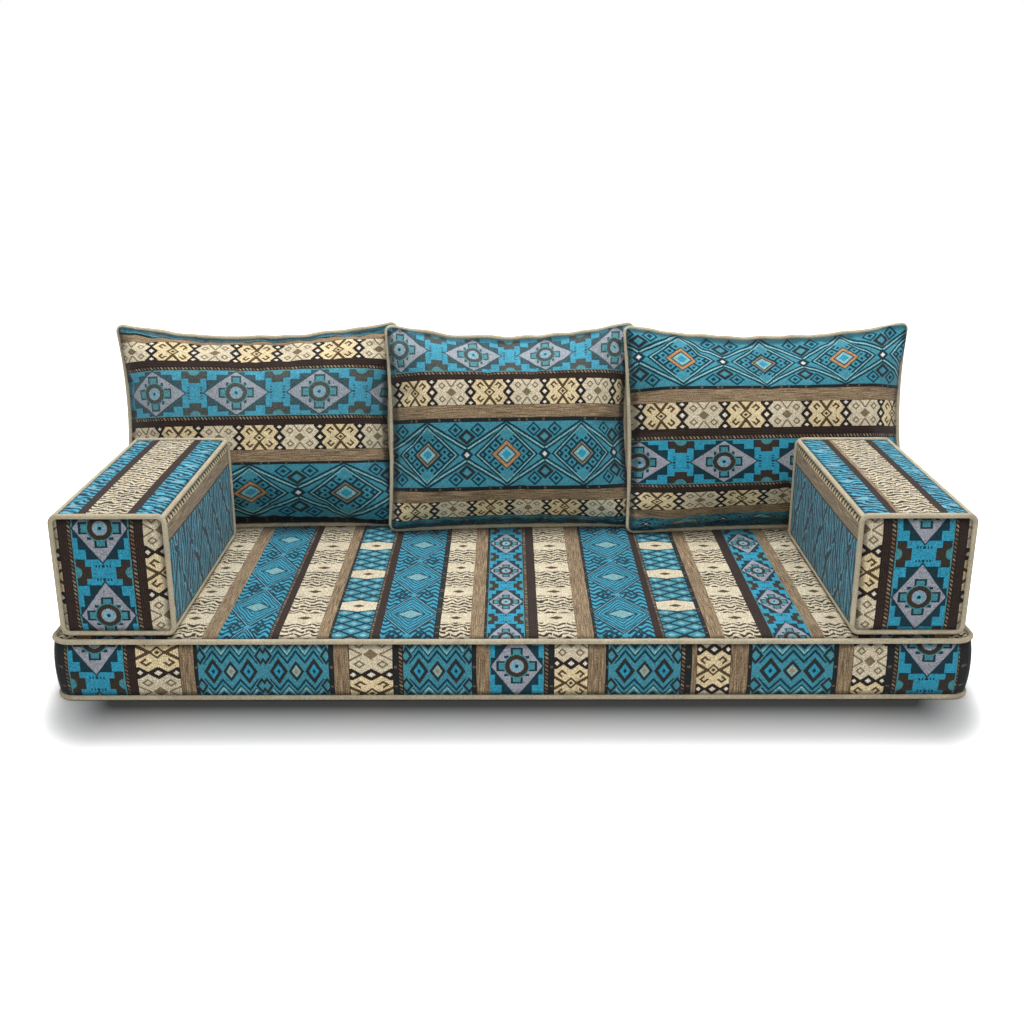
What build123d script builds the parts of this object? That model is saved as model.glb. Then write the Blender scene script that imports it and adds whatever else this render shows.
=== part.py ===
from build123d import *
import json
import os
from math import asin, cos, degrees, radians, sin

# A majlis floor sofa: one seat mattress on the floor, an arm cushion at each end of it, and three
# back pillows that stand on it and lean back. Every cushion is a stuffed block or pillow in a sewn
# cover, with a filled cord, the piping, along its seams, and a zip to take the cover off by.
# Millimetres. +X is to the right, +Y to the back, +Z up. The origin is the middle of the underside.

# Cloth, piping and clearances
fabric = 1.4  # woven cloth and its backing
piping_radius = 5.5
sewn_gap = 0.4  # between pieces that are sewn or packed together
pillow_gap = 0.8  # between a pillow's cover and its fibre filling
rest_gap = 0.3  # between cushions that lie on each other
overrun = 6.0  # how far a cut runs past what it cuts
straight = 0.001  # a side that bows less than this is a straight line

# Seat mattress
seat_width = 1900.0
seat_depth = 800.0
seat_height = 137.0  # from the floor to the top of the upper piping
seat_corner = 40.0
seat_least_corner = 26.0
seat_bulge = 7.0  # of the border between its two cords
seat_crown = [(6.2, -4.0), (12.0, -0.2), (28.0, 1.4), (55.0, 2.5)]  # in from the seam, and up
seat_foot_reach = 4.4  # from the lower seam in to the bottom panel's edge
seat_zip_length = 1500.0

# Arm cushions
arm_width = 227.0  # from seam to seam, as are the next two
arm_height = 252.0
arm_length = 580.0
arm_corner = 15.0
arm_least_corner = 12.0
arm_core_corner = 31.0
arm_end_bow = 1.5  # of each side, where it meets an end panel
arm_middle_bow = 4.0  # of each side, half way along
arm_crown = [(6.2, 1.0), (12.0, 4.5), (32.0, 7.0), (70.0, 8.5)]  # in from the seam, and out
arm_side_margin = 28.0  # from the seat's side seam in to the arm's outer seam
arm_front_margin = 12.0  # from the seat's front seam back to the arm's front seam
arm_zip_length = 450.0
arm_zip_height = 48.0  # over the arm's lower seam

# Back pillows
pillow_widths = {"left": 705.0, "middle": 630.0, "right": 727.0}  # from ear to ear
pillow_overlaps = {"left": 22.5, "right": 27.0}  # of the ears beside the middle pillow
pillow_feet = {"left": 279.0, "middle": 274.0, "right": 262.0}  # lower seam, behind the middle
pillow_height = 518.0
pillow_thickness = 160.0
pillow_ear_radius = 17.0
pillow_draw_bottom = 5.0  # how far a side is drawn in between its ears
pillow_draw_top = 34.0
pillow_draw_sides = {"left": (26.0, 24.0), "middle": (8.0, 24.0), "right": (8.0, 26.0)}
pillow_swell = 9.0  # how far the crown's sides bow out
pillow_crown_reach = 195.0  # from the seam in to the top of the crown
pillow_crown_corner = 45.0
pillow_fill_reach = 8.0  # from the seam in to the filling beside the cord
pillow_crown_steps = 3
pillow_lean = 16.0  # degrees
pillow_turn = 3.5  # degrees, left edge forward
pillow_zip_length = 430.0
pillow_zip_angle = 45.0  # where the zip lies on the crown's quarter ellipse, in degrees

# Zips
tape_width = 28.0
tape_thickness = 1.0
tape_end = 10.0  # of tape past the coil
tape_gap = 1.6  # between the cover and the tape, which is sewn on behind it
coil_width = 5.6
coil_height = 2.6
coil_parting = 1.5  # between the two coils, where the slider's post runs
slot_width = 9.6  # of the opening in the cover
stop_length = 3.0
slider_length = 10.0
slider_width = 8.6
slider_plate = 1.8
slider_post_length = 3.0
slider_post_width = 0.9
slide_gap = 0.3
bail_length = 6.4
bail_width = 1.6
bail_bar = 1.0
bail_opening = 3.6  # tall, so that the pull lies clear of the cover past the zip's ends
pull_length = 27.0
pull_width = 6.4
pull_thickness = 1.2
pull_tip_radius = 2.6
eye_length = 5.4  # from the pull's pivot to the far side of its eye
eye_width = 2.4

# Motion
lift_travel = 560.0

parts = {}
facts = {}


# Shapes shared by all the cushions


def outline(width, height, corner, bows):
    """Four sides between rounded corners. bows are the bottom, right, top and left sides' bows
    outwards, negative where a side is drawn in."""
    x, y = width / 2, height / 2
    corners = [Vector(-x, -y), Vector(x, -y), Vector(x, y), Vector(-x, y)]
    sides = []
    for place, bow in enumerate(bows):
        start, end = corners[place], corners[(place + 1) % len(corners)]
        along = (end - start).normalized()
        middle = (start + end) / 2 + Vector(along.Y, -along.X) * bow
        if abs(bow) > straight:
            sides.append(ThreePointArc(start, middle, end))
        else:
            sides.append(Line(start, end))
    return fillet(make_face(sides).vertices(), corner)


def layered(stations, ruled=False):
    """A solid through outlines, each given with its height, smooth or with straight sides."""
    return loft([Pos(0, 0, height) * face for height, face in stations], ruled=ruled)


def cord(path, radius):
    """A round cord along a closed path."""
    start = Plane(origin=path @ 0, z_dir=path % 0)
    return sweep(start * Circle(radius), path)


def solids_of(shape):
    return Compound(children=list(shape.solids()))


# The zip, flat on XY with +Z out of the cover and its closed end at +X. Z is 0 at the cover's face.

coil_level = -(fabric + tape_gap + tape_thickness / 2)
plate_top = coil_level + coil_height / 2 + slide_gap + slider_plate
slider_depth = plate_top - (coil_level - coil_height / 2 - slide_gap - slider_plate)
pivot_level = plate_top + bail_opening - slide_gap - pull_thickness / 2


def slider_travel(length):
    return length - slider_length - 2 * stop_length - 2 * slide_gap


def zip_chain(length):
    """The two halves of the zip, each a tape with its coil and end stops."""
    inner_edge = coil_parting / 2
    tape_side = tape_width / 2 - inner_edge
    coil_side = coil_width / 2 - inner_edge
    tape = Box(length + 2 * tape_end, tape_side, tape_thickness)
    half = Pos(0, inner_edge + tape_side / 2, coil_level) * tape
    section = Plane.YZ * RectangleRounded(coil_side, coil_height, coil_side / 3)
    coil = extrude(section, length / 2, both=True)
    half += Pos(0, inner_edge + coil_side / 2, coil_level) * coil
    for end in (-1, 1):
        stop = Box(stop_length, coil_side, coil_height + slider_plate)
        place = end * (length - stop_length) / 2
        half += Pos(place, inner_edge + coil_side / 2, coil_level) * stop
    return Compound(children=[half.solid(), mirror(half, Plane.XZ).solid()])


def zip_slider():
    """Two plates joined by a post that runs between the coils, with a bail on top for the pull."""
    middle_level = plate_top - slider_depth / 2
    body = Pos(0, 0, middle_level) * Box(slider_length, slider_width, slider_depth)
    body = chamfer(body.edges().filter_by(Axis.Z), slider_plate)
    room = coil_height + 2 * slide_gap
    body -= Pos(0, 0, coil_level) * Box(slider_length * 2, coil_width + 2 * slide_gap, room)
    body -= Pos(0, 0, coil_level) * Box(
        slider_length * 2, slider_width * 2, tape_thickness + 2 * slide_gap
    )
    body += Pos(0, 0, coil_level) * Box(slider_post_length, slider_post_width, room)
    rise = bail_opening + bail_bar
    bail = Pos(0, 0, plate_top + rise / 2) * Box(bail_length, bail_width, rise)
    bail = fillet(bail.edges().filter_by(Axis.Y).group_by(Axis.Z)[-1], bail_bar)
    opening = Box(bail_length - 2 * bail_bar, bail_width * 2, bail_opening)
    bail -= Pos(0, 0, plate_top + bail_opening / 2) * opening
    return body + bail


def zip_pull():
    """A flat tab whose eye holds the slider's bail. It turns about the bar at its eye's end."""
    tab = Pos(-pull_length / 2, 0, 0) * Box(pull_length, pull_width, pull_thickness)
    tab = fillet(tab.edges().filter_by(Axis.Z).group_by(Axis.X)[0], pull_tip_radius)
    tab -= Pos(-eye_length / 2, 0, 0) * Box(eye_length, eye_width, pull_thickness * 2)
    tab += Rot(X=90) * Cylinder(pull_thickness / 2, pull_width)
    return Pos(0, 0, pivot_level) * tab


def zip_slot(length):
    """What the cover loses for the zip's opening."""
    return Box(length - 2 * stop_length, slot_width, 2 * (coil_width + overrun))


def zip_groove(length):
    """What the filling gives up to the zip."""
    depth = slider_depth - plate_top + sewn_gap
    top = depth + overrun
    groove = Box(length + 2 * tape_end + 2 * sewn_gap, slot_width, depth + top)
    ledge_depth = tape_thickness / 2 - coil_level + sewn_gap
    ledge = Box(
        length + 2 * tape_end + 2 * sewn_gap, tape_width + 2 * sewn_gap, ledge_depth + top
    )
    return Pos(0, 0, (top - depth) / 2) * groove + Pos(0, 0, (top - ledge_depth) / 2) * ledge


def add_zip(owner, length, place, to_world):
    """Adds a cushion's zip. place is where it lies in the cushion, and to_world the cushion's own
    place. The slider rests at the closed end."""
    closed = place * Pos(slider_travel(length) / 2, 0, 0)
    parts[owner + "_zip"] = to_world * (place * zip_chain(length))
    parts[owner + "_zip_slider"] = to_world * (closed * zip_slider())
    parts[owner + "_zip_pull"] = to_world * (closed * zip_pull())
    world = Plane(to_world * closed)
    pivot = world.from_local_coords(Vector(0, 0, pivot_level))
    facts[owner + "_zip"] = {
        "opens_along": [round(v, 6) for v in tuple(-world.x_dir)],
        "travel": slider_travel(length),
        "pull_pivot": [round(v, 4) for v in tuple(pivot)],
        "pull_axis": [round(v, 6) for v in tuple(world.y_dir)],
    }


seam_clear = piping_radius + sewn_gap
fill_inset = fabric + sewn_gap


def crowned(plan, profile, inset):
    """A crowned form whose plan is drawn in along a profile of (reach, level), moved in by inset."""
    stations = []
    for place, (reach, level) in enumerate(profile):
        drop = inset if place else 0
        stations.append((level - drop, plan(reach + inset)))
    return layered(stations, ruled=True)


def block(face, low, high):
    return Pos(0, 0, low) * extrude(face, high - low)


# Seat mattress

lower_seam = piping_radius
upper_seam = seat_height - piping_radius
seat_top_profile = [(reach, seat_height + rise) for reach, rise in seat_crown]


def seat_plan(reach):
    """The seat's plan, reach in from its seam."""
    corner = max(seat_corner - reach, seat_least_corner)
    return outline(seat_width - 2 * reach, seat_depth - 2 * reach, corner, [0] * 4)


def seat_border(inset):
    """The seat's sides between the two cords, moved in by inset."""
    middle, half = (lower_seam + upper_seam) / 2, (upper_seam - lower_seam) / 2
    levels = [lower_seam + seam_clear, middle, upper_seam - seam_clear]
    bulges = [seat_bulge * (1 - ((level - middle) / half) ** 2) for level in levels]
    return layered([(level, seat_plan(inset - bulge)) for level, bulge in zip(levels, bulges)])


def make_seat():
    place = Plane(
        origin=(0, seat_depth / 2 + seat_bulge, (lower_seam + upper_seam) / 2),
        x_dir=(1, 0, 0),
        z_dir=(0, 1, 0),
    ).location
    top = crowned(seat_plan, seat_top_profile, 0) - crowned(seat_plan, seat_top_profile, fabric)
    border = seat_border(0) - seat_border(fabric)
    core = seat_border(fill_inset) + crowned(seat_plan, seat_top_profile, fill_inset)
    inside_cords = seat_plan(seam_clear + sewn_gap)
    core += block(inside_cords, fill_inset, lower_seam + seam_clear)
    core += block(inside_cords, upper_seam - seam_clear, seat_top_profile[0][1])
    parts["seat_top_panel"] = top
    parts["seat_border_panel"] = border - place * zip_slot(seat_zip_length)
    parts["seat_bottom_panel"] = block(seat_plan(seat_foot_reach), 0, fabric)
    parts["seat_foam_core"] = core - place * zip_groove(seat_zip_length)
    for side, level in {"bottom": lower_seam, "top": upper_seam}.items():
        path = (Pos(0, 0, level) * seat_plan(0)).face().outer_wire()
        parts[f"seat_{side}_piping"] = cord(path, piping_radius)
    add_zip("seat", seat_zip_length, place, Location())


# Arm cushions, made with X across, Y up and Z to the front, then stood on the seat

arm_seam = arm_length / 2
arm_body_end = arm_seam - seam_clear
arm_cap_profile = [(reach, arm_seam + rise) for reach, rise in arm_crown]
in_corner = arm_corner * (1 - cos(radians(45)))  # an edge cord's middle is this far in
edge_clear = in_corner + seam_clear


def arm_section(reach):
    """The arm's section at its ends, reach in from its seam."""
    corner = max(arm_corner - reach, arm_least_corner)
    return outline(arm_width - 2 * reach, arm_height - 2 * reach, corner, [arm_end_bow] * 4)


def arm_bow(along):
    """How far the arm's sides bow out, at a share of the way from its middle to its end."""
    return arm_end_bow + (arm_middle_bow - arm_end_bow) * (1 - along**2)


def arm_strip(across, out):
    """A long panel between two edge cords. across is the arm's size along the panel's width, and
    out is from the arm's middle to the panel."""
    side = across / 2 - edge_clear
    faces = []
    for along in (-1, 0, 1):
        bow = arm_bow(along)
        edge = out + bow * (1 - (side / (across / 2)) ** 2)
        outer = ThreePointArc((-side, edge), (0, out + bow), (side, edge))
        inner = ThreePointArc((side, edge - fabric), (0, out + bow - fabric), (-side, edge - fabric))
        ends = [Line(outer @ 1, inner @ 0), Line(inner @ 1, outer @ 0)]
        faces.append((along * arm_body_end, make_face([outer, ends[0], inner, ends[1]])))
    return layered(faces)


def arm_core():
    width, height = arm_width - 2 * fill_inset, arm_height - 2 * fill_inset
    stations = [
        (along * arm_body_end, outline(width, height, arm_core_corner, [arm_bow(along)] * 4))
        for along in (-1, 0, 1)
    ]
    core = layered(stations)
    cap = crowned(arm_section, arm_cap_profile, fill_inset)
    cap += block(arm_section(seam_clear + sewn_gap), arm_body_end, arm_cap_profile[0][1])
    return core + cap + mirror(cap, Plane.XY)


def arm_zip_place():
    """Low on the outer panel, square to it."""
    height = arm_zip_height - arm_height / 2
    along = arm_zip_length / arm_length
    share = height / (arm_height / 2)
    bow = arm_bow(along) * (1 - share**2)
    slope = 2 * arm_bow(along) * share / (arm_height / 2)
    return Plane(
        origin=(-arm_width / 2 - bow, height, 0), x_dir=(0, 0, -1), z_dir=(-1, slope, 0)
    ).location


def make_arm():
    """The left arm's pieces, in its own frame."""
    zip_place = arm_zip_place()
    front = crowned(arm_section, arm_cap_profile, 0) - crowned(arm_section, arm_cap_profile, fabric)
    top = arm_strip(arm_width, arm_height / 2)
    inner = Rot(Z=-90) * arm_strip(arm_height, arm_width / 2)
    loop = cord((Pos(0, 0, arm_seam) * arm_section(0)).face().outer_wire(), piping_radius)
    x, y = arm_width / 2 - in_corner, arm_height / 2 - in_corner
    edge = Cylinder(piping_radius, 2 * arm_body_end)
    edges = [(Pos(a * x, b * y, 0) * edge).solid() for a in (-1, 1) for b in (-1, 1)]
    made = {
        "front_panel": front,
        "back_panel": mirror(front, Plane.XY),
        "top_panel": top,
        "bottom_panel": mirror(top, Plane.XZ),
        "inner_panel": inner,
        "outer_panel": mirror(inner, Plane.YZ) - zip_place * zip_slot(arm_zip_length),
        "foam_core": arm_core() - zip_place * zip_groove(arm_zip_length),
        "front_piping": loop,
        "back_piping": mirror(loop, Plane.XY),
        "edge_piping": Compound(children=edges),
    }
    return made, zip_place


def make_arms():
    made, zip_place = make_arm()
    across = seat_width / 2 - arm_side_margin - arm_width / 2
    front = -seat_depth / 2 + arm_front_margin
    lowest = arm_height / 2 + arm_end_bow + piping_radius
    level = seat_top_profile[-1][1] + rest_gap + lowest
    stand = Pos(-across, front + arm_seam, level) * Plane.XZ.location
    for side in ("left", "right"):
        for name, piece in made.items():
            placed = stand * piece
            parts[f"arm_{side}_{name}"] = placed if side == "left" else mirror(placed, Plane.YZ)
    add_zip("arm_left", arm_zip_length, zip_place, stand)
    for name in ("zip", "zip_slider", "zip_pull"):
        parts[f"arm_right_{name}"] = mirror(parts[f"arm_left_{name}"], Plane.YZ)
    left = facts["arm_left_zip"]
    facts["arm_right_zip"] = {
        "opens_along": [-left["opens_along"][0], *left["opens_along"][1:]],
        "travel": left["travel"],
        "pull_pivot": [-left["pull_pivot"][0], *left["pull_pivot"][1:]],
        "pull_axis": [-v if place else v for place, v in enumerate(left["pull_axis"])],
    }


# Back pillows, made with X across, Y up and Z to the front

crown_height = pillow_thickness / 2


def crown_point(angle):
    """How far in from the seam and how high the crown is, where its quarter ellipse has turned by
    angle, with the way square to it as (in, out)."""
    turn = radians(angle)
    square = Vector(crown_height * cos(turn), pillow_crown_reach * sin(turn)).normalized()
    return pillow_crown_reach * (1 - cos(turn)), crown_height * sin(turn), square


def pillow_outline(side, reach):
    """The outline of the pillow on that side, reach in from its seam."""
    left, right = pillow_draw_sides[side]
    seam_bows = (-pillow_draw_bottom, -right, -pillow_draw_top, -left)
    share = min(reach / pillow_crown_reach, 1) ** 2
    bows = [bow + (pillow_swell - bow) * share for bow in seam_bows]
    corner = pillow_ear_radius + (pillow_crown_corner - pillow_ear_radius) * share
    return outline(pillow_widths[side] - 2 * reach, pillow_height - 2 * reach, corner, bows)


def pillow_front(side, first_angle, inset):
    """A pillow's crown from first_angle up to its top, moved in by inset."""
    stations = []
    for step in range(pillow_crown_steps + 1):
        angle = first_angle + (90 - first_angle) * step / pillow_crown_steps
        reach, level, square = crown_point(angle)
        drop = inset * square.Y if step else 0
        stations.append((level - drop, pillow_outline(side, reach + inset * square.X)))
    return layered(stations)


def pillow_zip_place():
    """On the back panel, low down, square to the crown there."""
    reach, level, square = crown_point(pillow_zip_angle)
    return Plane(
        origin=(0, reach - pillow_height / 2, -level), x_dir=(1, 0, 0), z_dir=(0, -square.X, -square.Y)
    ).location


def make_pillow(side):
    """A pillow's pieces, in its own frame."""
    zip_place = pillow_zip_place()
    over_cord = degrees(asin(seam_clear / crown_height))
    front = pillow_front(side, over_cord, 0) - pillow_front(side, over_cord, fabric)
    half = pillow_front(side, over_cord, fabric + pillow_gap)
    fill = half + mirror(half, Plane.XY)
    fill += block(pillow_outline(side, pillow_fill_reach), -seam_clear, seam_clear)
    path = pillow_outline(side, 0).face().outer_wire()
    return {
        "front_panel": front,
        "back_panel": mirror(front, Plane.XY) - zip_place * zip_slot(pillow_zip_length),
        "fill": fill - zip_place * zip_groove(pillow_zip_length),
        "piping": cord(path, piping_radius),
    }


def pillow_middle(side):
    """Where a pillow's middle lies across the seat, from the middle pillow outwards."""
    if side == "middle":
        return 0
    step = (pillow_widths["middle"] + pillow_widths[side]) / 2 - pillow_overlaps[side]
    return step if side == "right" else -step


def make_pillows():
    turn = Rot(Z=pillow_turn) * Rot(X=-pillow_lean) * Plane.XZ.location
    for side in pillow_widths:
        pieces = make_pillow(side)
        foot = (turn * pieces["piping"]).bounding_box().min.Z
        level = seat_top_profile[-1][1] + rest_gap - foot
        lean_back = pillow_height / 2 * sin(radians(pillow_lean))
        stand = Pos(pillow_middle(side), pillow_feet[side] + lean_back, level) * turn
        for name, piece in pieces.items():
            parts[f"pillow_{side}_{name}"] = stand * piece
        add_zip(f"pillow_{side}", pillow_zip_length, pillow_zip_place(), stand)
    upright = Plane(turn).y_dir
    facts["pillow_lift"] = [round(v, 6) for v in tuple(upright)]


make_seat()
make_arms()
make_pillows()
facts["lift_travel"] = lift_travel
os.makedirs("parts", exist_ok=True)
for name, part in parts.items():
    export_step(solids_of(part), f"parts/{name}.step")
print(json.dumps(facts))
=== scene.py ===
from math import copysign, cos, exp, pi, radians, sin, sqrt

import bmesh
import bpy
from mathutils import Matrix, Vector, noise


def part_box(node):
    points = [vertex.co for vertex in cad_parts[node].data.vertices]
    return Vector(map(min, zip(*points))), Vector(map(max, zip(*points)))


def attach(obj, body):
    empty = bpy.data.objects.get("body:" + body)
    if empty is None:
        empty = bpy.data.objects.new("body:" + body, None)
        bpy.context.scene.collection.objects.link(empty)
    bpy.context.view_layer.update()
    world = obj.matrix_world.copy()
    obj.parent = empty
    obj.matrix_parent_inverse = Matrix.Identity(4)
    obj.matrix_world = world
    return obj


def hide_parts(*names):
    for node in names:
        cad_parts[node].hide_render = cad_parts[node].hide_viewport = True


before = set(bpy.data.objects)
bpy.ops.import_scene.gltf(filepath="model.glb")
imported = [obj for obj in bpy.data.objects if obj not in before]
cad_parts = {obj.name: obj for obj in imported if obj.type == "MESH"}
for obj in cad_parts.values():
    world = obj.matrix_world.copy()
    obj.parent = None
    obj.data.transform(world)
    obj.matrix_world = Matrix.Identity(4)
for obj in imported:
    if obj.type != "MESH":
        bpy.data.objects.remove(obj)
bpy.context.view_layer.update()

# %% [markdown]
# # A majlis floor sofa
# The imported CAD model is now in the scene: one seat mattress, two arm cushions and three back
# pillows, each with a cover, a cord along its seams and a zip. Every cover here stands in for
# the flat CAD panels of its cushion.

mm = 0.001

# %% [markdown]
# ## Camera, floor and light
# The photograph was taken from a little over the sofa, nearly square to it. A plain camera with
# no shift is enough. The white surroundings are a white floor and a white sky that only the
# camera and mirrors see, so the cloth is lit by a plain grey sky and two broad lamps, one
# overhead and a weak one in front. A picture of a studio could light it too, but less plainly.

# %% The camera
def linked(name, data):
    """A new object, put into the scene."""
    made = bpy.data.objects.new(name, data)
    bpy.context.collection.objects.link(made)
    return made


degrees_down, degrees_aside = 18.51, -0.18
camera = linked("camera", bpy.data.cameras.new("camera"))
camera.location = (-0.010, -2.696, 1.180)
camera.rotation_euler = (radians(90 - degrees_down), 0, radians(degrees_aside))
camera.data.sensor_width = 36
camera.data.lens = 43.07
bpy.context.scene.camera = camera
bpy.context.scene.view_settings.view_transform = "Standard"
print("camera at", tuple(camera.location))

# %% [markdown]
# ## Sums that become nodes
# A long pattern is hard to read with each node made in its own line, so one small class turns a
# written sum into its nodes.

# %% Threads: sockets that can be added and multiplied
def step_of(operation):
    """A method that adds one Math node."""
    return lambda self, *others: self.maths(operation, self, *others)


class Thread:
    """One socket in a node tree. Sums on threads add Math nodes."""

    def __init__(self, tree, socket=None):
        self.tree = tree
        self.socket = socket

    def node(self, kind, settings=(), sockets=(), out=0):
        """Adds a node of any kind. Its settings come first, then its sockets' values or links."""
        made = self.tree.nodes.new("ShaderNode" + kind)
        for name, value in dict(settings).items():
            setattr(made, name, value)
        for name, value in dict(sockets).items():
            if isinstance(value, Thread):
                self.tree.links.new(value.socket, made.inputs[name])
            else:
                made.inputs[name].default_value = value
        return Thread(self.tree, made.outputs[out])

    def out(self, name):
        return Thread(self.tree, self.socket.node.outputs[name])

    def maths(self, operation, *values):
        return self.node("Math", {"operation": operation}, enumerate(values))

    def dye(self, colour):
        """A plain colour that others are laid over."""
        sockets = {"Factor": 0.0, 6: colour, 7: colour}
        return self.node("Mix", {"data_type": "RGBA"}, sockets, out=2)

    def over(self, *layers):
        """Lays colours over this one in turn, each where the mask that follows it is 1."""
        tone = self
        for colour, mask in zip(layers[::2], layers[1::2]):
            sockets = {"Factor": mask, 6: tone, 7: colour}
            tone = self.node("Mix", {"data_type": "RGBA"}, sockets, out=2)
        return tone

    def lit(self, light):
        """This colour, made lighter or darker."""
        return self.node("VectorMath", {"operation": "SCALE"}, {0: self, "Scale": light})

    def place(self):
        """The point on the object, in metres."""
        return self.node("TexCoord").out("Object")

    def split(self):
        return self.node("SeparateXYZ", sockets={0: self})

    def uv(self, name):
        """The two numbers of one of the piece's own maps."""
        return self.node("UVMap", {"uv_map": name}).split()

    def lumps(self, place, scale, detail):
        """Soft noise from 0 to 1, with about scale lumps to the metre."""
        sockets = {"Vector": place, "Scale": scale, "Detail": detail}
        return self.node("TexNoise", sockets=sockets)

    def ramp(self, low, high, start, end, curve="SMOOTHSTEP"):
        """Goes from start to end while this one goes from low to high."""
        sockets = {0: self, 1: low, 2: high, 3: start, 4: end}
        return self.node("MapRange", {"interpolation_type": curve}, sockets)

    __add__ = __radd__ = step_of("ADD")
    __sub__ = step_of("SUBTRACT")
    __mul__ = __rmul__ = __and__ = step_of("MULTIPLY")
    __truediv__ = step_of("DIVIDE")
    __or__ = step_of("MAXIMUM")
    __lt__ = step_of("LESS_THAN")
    __gt__ = step_of("GREATER_THAN")
    __abs__ = step_of("ABSOLUTE")
    sine = step_of("SINE")
    whole = step_of("FLOOR")
    share = step_of("FRACT")
    fold = step_of("PINGPONG")  # up from 0 to a size and down again, for a mirrored pattern

    def __rsub__(self, other):
        return self.maths("SUBTRACT", other, self)

    def snap(self, step):
        return self.maths("SNAP", self, step) + step / 2

    def wave(self, length):
        """A wave from -1 to 1 that comes back after length."""
        return (self * (2 * pi / length)).sine()

    def within(self, low, high):
        return (self > low) & (self < high)


def dyed(red, green, blue):
    """A colour as it is seen, 0 to 255, as the linear light a shader takes."""
    shares = [v / 255 for v in (red, green, blue)]
    return tuple(v / 12.92 if v < 0.0405 else ((v + 0.055) / 1.055) ** 2.4 for v in shares) + (1.0,)


# %% Materials from threads
def new_material(name):
    """An empty material, its loose thread and its output."""
    material = bpy.data.materials.new(name)
    material.use_nodes = True
    material.node_tree.nodes.clear()
    loom = Thread(material.node_tree)
    finish = material.node_tree.nodes.new("ShaderNodeOutputMaterial")
    return material, loom, finish


def tie(thread, node, socket):
    thread.tree.links.new(thread.socket, node.inputs[socket])


# %% The floor
floor_size = 30.0
bm = bmesh.new()
bmesh.ops.create_grid(bm, x_segments=1, y_segments=1, size=floor_size / 2)
floor_mesh = bpy.data.meshes.new("floor")
bm.to_mesh(floor_mesh)
bm.free()
floor = linked("floor", floor_mesh)
# The painted shadow's edges, in metres from the sofa's middle: at the ends, in front and behind.
end_edge, front_edge, back_edge = 0.82, -0.4, 0.25
# The painted shadow pales over the first distances past its edges, and whitens over the next.
dark_until, pale_from, darkest, palest = 0.03, 0.22, 0.07, 0.88
fades_from, white_from = 0.15, 0.32
bounce = 0.9
material, loom, finish = new_material("white_floor")
seen = loom.node("LightPath").out("Is Camera Ray")
place = loom.place().split()
ahead = loom.maths("MAXIMUM", front_edge - place.out("Y"), 0.0)
aside = loom.maths("MAXIMUM", (abs(place.out("X")) - end_edge) * 1.5, 0.0)
away = loom.maths("SQRT", ahead * ahead + aside * aside) | ((place.out("Y") - back_edge) * 2)
# Painted shadow: as the camera sees it, the floor is darker near the sofa, over the real shadow
# that the lamps cast, and glows white further out; other rays find a plain pale floor.
whiteness = away.ramp(fades_from, white_from, 0.0, 1.0)
shade = away.ramp(dark_until, pale_from, darkest, palest, "LINEAR")
shade = shade * seen + (1 - seen) * bounce
shade = loom.node("CombineColor", sockets={0: shade, 1: shade, 2: shade})
lit = loom.node("BsdfDiffuse", sockets={"Color": shade})
glow = loom.node("Emission", sockets={"Strength": seen * whiteness})
tie(loom.node("AddShader", sockets={0: lit, 1: glow}), finish, "Surface")
floor_mesh.materials.append(material)
print("floor", floor_size, "m wide")

# %% The sky
sky_light = 0.36
world = bpy.data.worlds.new("sky")
bpy.context.scene.world = world
world.use_nodes = True
rays = Thread(world.node_tree).node("LightPath")
white = rays.out("Is Camera Ray") | rays.out("Is Glossy Ray") | rays.out("Is Transmission Ray")
background = world.node_tree.nodes["Background"]
tie(white * (1 - sky_light) + sky_light, background, "Strength")
background.inputs["Color"].default_value = (1, 1, 1, 1)
print("sky at", sky_light)

# %% Lamps
lamp_aim = Vector((0, 0, 0.25))
lamps = {
    "overhead": ((0.1, -0.1, 3.4), 3.0, 110),
    "front": ((0.4, -4.6, 1.6), 2.4, 15),
}
for name, (place, size, power) in lamps.items():
    lamp = linked(name, bpy.data.lights.new(name, "AREA"))
    lamp.location = place
    lamp.rotation_euler = (lamp_aim - Vector(place)).to_track_quat("-Z", "Y").to_euler()
    lamp.data.size = size
    lamp.data.energy = power
    print(name, "lamp", power, "W")

# %% [markdown]
# ## Kilim cloth
# The cover is a flat weave with bands of traditional motifs: a diamond with a round eye, hooked
# cream medallions, nested blue diamonds, ribbed tan bands and thin dark lines. A picture could be
# laid on it, but a pattern worked out in the shader stays sharp at any distance. Each band has
# its own material. It reads three maps: band, where U runs 0 to 1 across the band and V is in
# metres along it, thread, which is in metres both ways, for the weave, and seam, whose U is the
# distance from the nearest seam, because the colour is darkened there as painted shade. In the
# drawings, q is how far a point is from the band's middle, p from the middle of its motif along
# the band, and s from where two motifs meet.

# %% Cloth that every band shares
NAVY = dyed(22, 54, 66)
BLUE = dyed(50, 150, 180)
SKY = dyed(122, 170, 188)
TEAL = dyed(70, 138, 148)
AZURE = dyed(68, 142, 160)
DEEP = dyed(16, 54, 70)
SLATE = dyed(42, 46, 46)
MIST = dyed(136, 182, 184)
LILAC = dyed(154, 156, 166)
BROWN = dyed(42, 32, 28)
UMBER = dyed(84, 66, 44)
OLIVE = dyed(56, 48, 40)
TAN = dyed(142, 121, 95)
CREAM = dyed(224, 205, 163)
PALE = dyed(213, 201, 174)
BONE = dyed(228, 220, 204)
GREY = dyed(126, 110, 86)
RUST = dyed(180, 134, 90)
yarn = 1.9 * mm
wobble_across, wobble_along = 0.0098, 1.4 * mm
# Painted shade along the seams: within seam_dark of a seam the colour keeps only seam_shade of its
# light, and past seam_light it is plain.
seam_dark, seam_light, seam_shade, seam_wobble = 7 * mm, 19 * mm, 0.36, 9 * mm
weft_step, warp_step = 1.5 * mm, 2.1 * mm


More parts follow.
